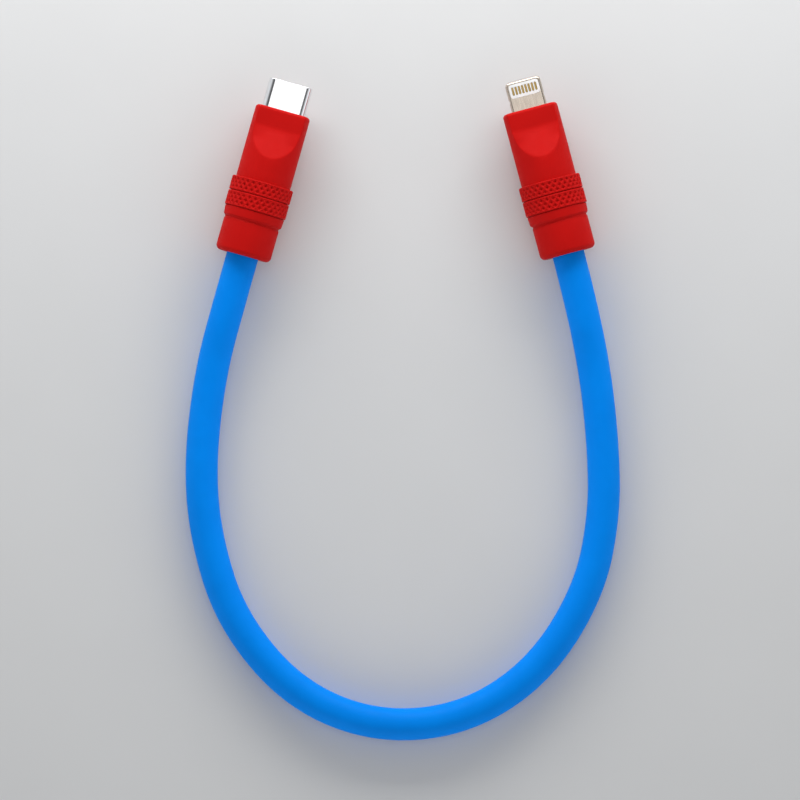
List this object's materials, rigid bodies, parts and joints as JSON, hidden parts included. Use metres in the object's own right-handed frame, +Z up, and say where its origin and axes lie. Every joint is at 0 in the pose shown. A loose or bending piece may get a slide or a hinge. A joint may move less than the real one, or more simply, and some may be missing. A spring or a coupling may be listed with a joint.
{
  "type": "charging cable",
  "caption": "Short charging cable: one thick soft cord in a U between a hollow oval plug and a flat blade plug, each in a rounded housing with knurled grip rings.",
  "frame": {"origin": "on the surface the cable lies on, under the middle of the two plugs' bounding box", "axes": "+X from the oval plug to the blade plug, +Y the way both tips point, away from the bend of the cord, +Z up from the surface"},
  "size_m": [0.081, 0.1235, 0.0116],
  "materials": {
    "housing_red": "soft-touch matte",
    "grip_red": "matte, knurled",
    "cord_blue": "smooth matte silicone",
    "polished_steel": "polished",
    "steel": "satin",
    "blade_steel": "brushed, warm nickel tone",
    "contact_gold": "gold plated",
    "insulator_black": "satin",
    "insulator_white": "satin",
    "board_green": "solder mask",
    "chip_black": "moulded",
    "solder": "bright",
    "mould_grey": "moulded",
    "braid_copper": "tinned copper braid",
    "wire_red": "insulation",
    "wire_black": "insulation",
    "wire_green": "insulation",
    "wire_white": "insulation",
    "filler_fibre": "fibre"
  },
  "bodies": {
    "body": {"oval_plug_nose": "housing_red", "oval_plug_grip_ring_front": "grip_red", "oval_plug_grip_ring_rear": "grip_red", "oval_plug_tail": "housing_red", "oval_plug_ferrule": "steel", "oval_plug_inner_mould": "mould_grey", "oval_plug_can_upper": "steel", "oval_plug_can_lower": "steel", "oval_plug_board": "board_green", "oval_plug_board_parts": "chip_black", "oval_plug_solder": "solder", "oval_plug_contacts_upper": "contact_gold", "oval_plug_contacts_lower": "contact_gold", "oval_plug_shell": "polished_steel", "oval_plug_insulator": "insulator_black", "oval_plug_latch_plate": "steel", "oval_plug_ground_spring_upper": "steel", "oval_plug_ground_spring_lower": "steel", "blade_plug_nose": "housing_red", "blade_plug_grip_ring_front": "grip_red", "blade_plug_grip_ring_rear": "grip_red", "blade_plug_tail": "housing_red", "blade_plug_ferrule": "steel", "blade_plug_inner_mould": "mould_grey", "blade_plug_can_upper": "steel", "blade_plug_can_lower": "steel", "blade_plug_board": "board_green", "blade_plug_board_parts": "chip_black", "blade_plug_solder": "solder", "blade_plug_contacts_upper": "contact_gold", "blade_plug_contacts_lower": "contact_gold", "blade_plug_tab_frame": "blade_steel", "blade_plug_insulator": "insulator_white", "cord_jacket": "cord_blue", "cord_shield_braid": "braid_copper", "cord_power_wire": "wire_red", "cord_ground_wire": "wire_black", "cord_data_plus_wire": "wire_green", "cord_data_minus_wire": "wire_white", "cord_filler_strands": "filler_fibre"},
    "latch_left": {"oval_plug_latch_left": "steel"},
    "latch_right": {"oval_plug_latch_right": "steel"}
  },
  "joints": [
    {"name": "latch_left_flex", "type": "hinge", "parent": "body", "child": "latch_left", "pos_m": [-0.02675, 0.00881, 0.00582], "axis": [0, 0, 1], "range_deg": [0, 2], "stiffness_Nm_per_rad": 0.015},
    {"name": "latch_right_flex", "type": "hinge", "parent": "body", "child": "latch_right", "pos_m": [-0.02007, 0.00692, 0.00582], "axis": [0, 0, -1], "range_deg": [0, 2], "stiffness_Nm_per_rad": 0.015}
  ]
}
